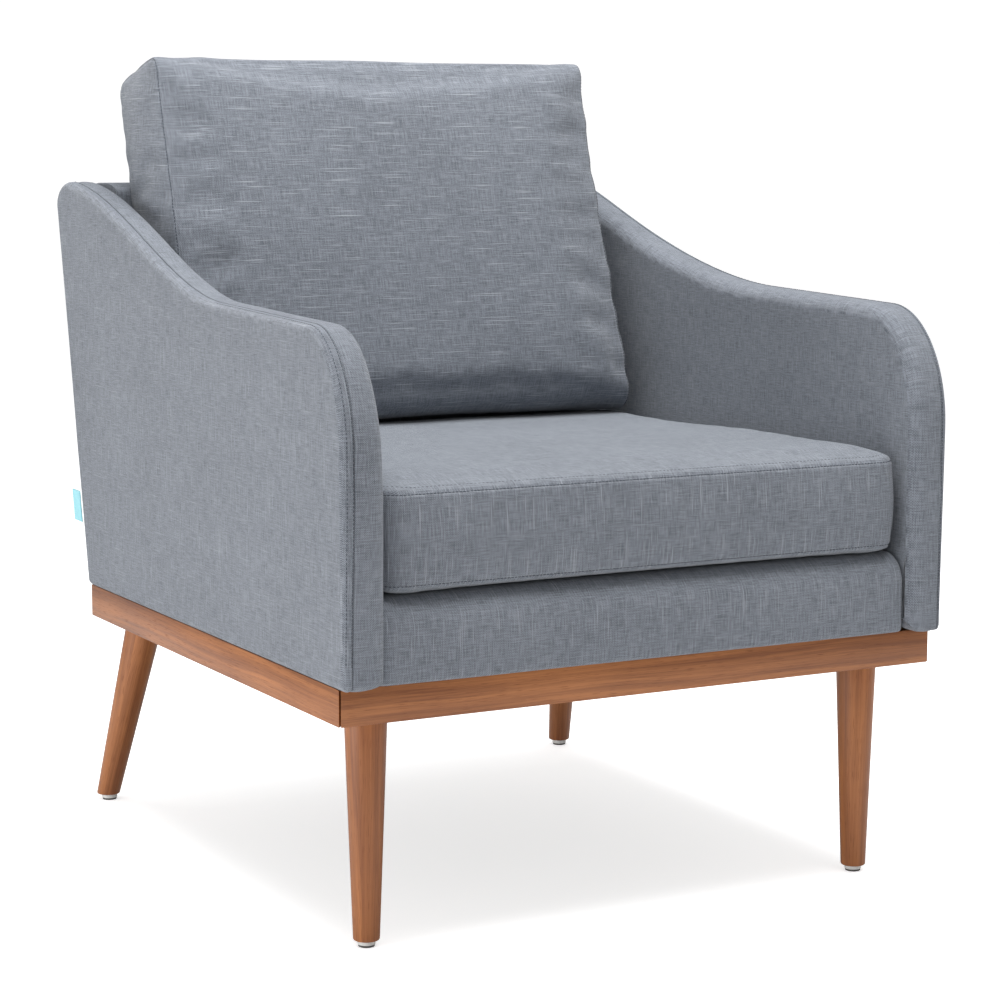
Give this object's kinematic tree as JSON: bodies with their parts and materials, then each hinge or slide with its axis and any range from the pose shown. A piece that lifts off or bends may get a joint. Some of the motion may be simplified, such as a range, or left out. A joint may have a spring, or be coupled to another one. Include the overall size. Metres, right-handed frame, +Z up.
{
  "type": "upholstered armchair",
  "caption": "Low lounge armchair with swept padded arms, loose seat and back cushions, a wooden plinth and turned tapered legs.",
  "frame": {"origin": "centre of the bounding box on the floor, under the middle of the chair", "axes": "+Z up, -Y towards the front of the seat, +X towards the right as seen from the front"},
  "size_m": [0.7106, 0.8036, 0.8897],
  "materials": {
    "upholstery_cloth": "matte",
    "stained_wood": "satin",
    "frame_wood": "matte",
    "zinc_steel": "satin",
    "spring_steel": "satin",
    "glide_plastic": "satin",
    "dust_cloth": "matte",
    "deck_cloth": "matte",
    "cushion_filling": "matte",
    "zip_tape": "matte",
    "zip_metal": "satin",
    "tab_cloth": "matte"
  },
  "bodies": {
    "chair_frame": {"arm_left_frame": "frame_wood", "arm_left_inner_upholstery": "upholstery_cloth", "arm_left_outer_panel": "upholstery_cloth", "arm_right_frame": "frame_wood", "arm_right_inner_upholstery": "upholstery_cloth", "arm_right_outer_panel": "upholstery_cloth", "back_inner_upholstery": "upholstery_cloth", "back_outer_panel": "upholstery_cloth", "back_post_left": "frame_wood", "back_post_right": "frame_wood", "back_top_rail": "frame_wood", "body_bolt_front_left": "zinc_steel", "body_bolt_front_right": "zinc_steel", "body_bolt_rear_left": "zinc_steel", "body_bolt_rear_right": "zinc_steel", "corner_block_front_left": "frame_wood", "corner_block_front_right": "frame_wood", "corner_block_rear_left": "frame_wood", "corner_block_rear_right": "frame_wood", "dust_cover": "dust_cloth", "front_rail_upholstery": "upholstery_cloth", "glide_front_left": "glide_plastic", "glide_front_right": "glide_plastic", "glide_rear_left": "glide_plastic", "glide_rear_right": "glide_plastic", "hanger_bolt_front_left": "zinc_steel", "hanger_bolt_front_right": "zinc_steel", "hanger_bolt_rear_left": "zinc_steel", "hanger_bolt_rear_right": "zinc_steel", "leg_front_left": "stained_wood", "leg_front_right": "stained_wood", "leg_plate_front_left": "zinc_steel", "leg_plate_front_right": "zinc_steel", "leg_plate_rear_left": "zinc_steel", "leg_plate_rear_right": "zinc_steel", "leg_rear_left": "stained_wood", "leg_rear_right": "stained_wood", "plinth_front_rail": "stained_wood", "plinth_left_rail": "stained_wood", "plinth_rear_rail": "stained_wood", "plinth_right_rail": "stained_wood", "seat_deck_pad": "deck_cloth", "seat_frame_front_rail": "frame_wood", "seat_frame_left_rail": "frame_wood", "seat_frame_rear_rail": "frame_wood", "seat_frame_right_rail": "frame_wood", "seat_spring_1": "spring_steel", "seat_spring_2": "spring_steel", "seat_spring_3": "spring_steel", "seat_spring_4": "spring_steel", "side_tab": "tab_cloth"},
    "seat_cushion": {"seat_cushion_core": "cushion_filling", "seat_cushion_cover": "upholstery_cloth", "seat_cushion_zip": "zip_tape"},
    "back_cushion": {"back_cushion_core": "cushion_filling", "back_cushion_cover": "upholstery_cloth", "back_cushion_zip": "zip_tape"},
    "seat_zip_slider": {"seat_cushion_zip_slider": "zip_metal"},
    "back_zip_slider": {"back_cushion_zip_slider": "zip_metal"}
  },
  "joints": [
    {"name": "seat_cushion_slides_out", "type": "slide", "parent": "chair_frame", "child": "seat_cushion", "axis": [0, -1, 0], "range_m": [0, 0.62]},
    {"name": "back_cushion_lifts_out", "type": "slide", "parent": "chair_frame", "child": "back_cushion", "axis": [0, 0.2588, 0.9659], "range_m": [0, 0.45]},
    {"name": "seat_zip_slides", "type": "slide", "parent": "seat_cushion", "child": "seat_zip_slider", "axis": [1, 0, 0], "range_m": [0, 0.34]},
    {"name": "back_zip_slides", "type": "slide", "parent": "back_cushion", "child": "back_zip_slider", "axis": [1, 0, 0], "range_m": [0, 0.32]}
  ]
}
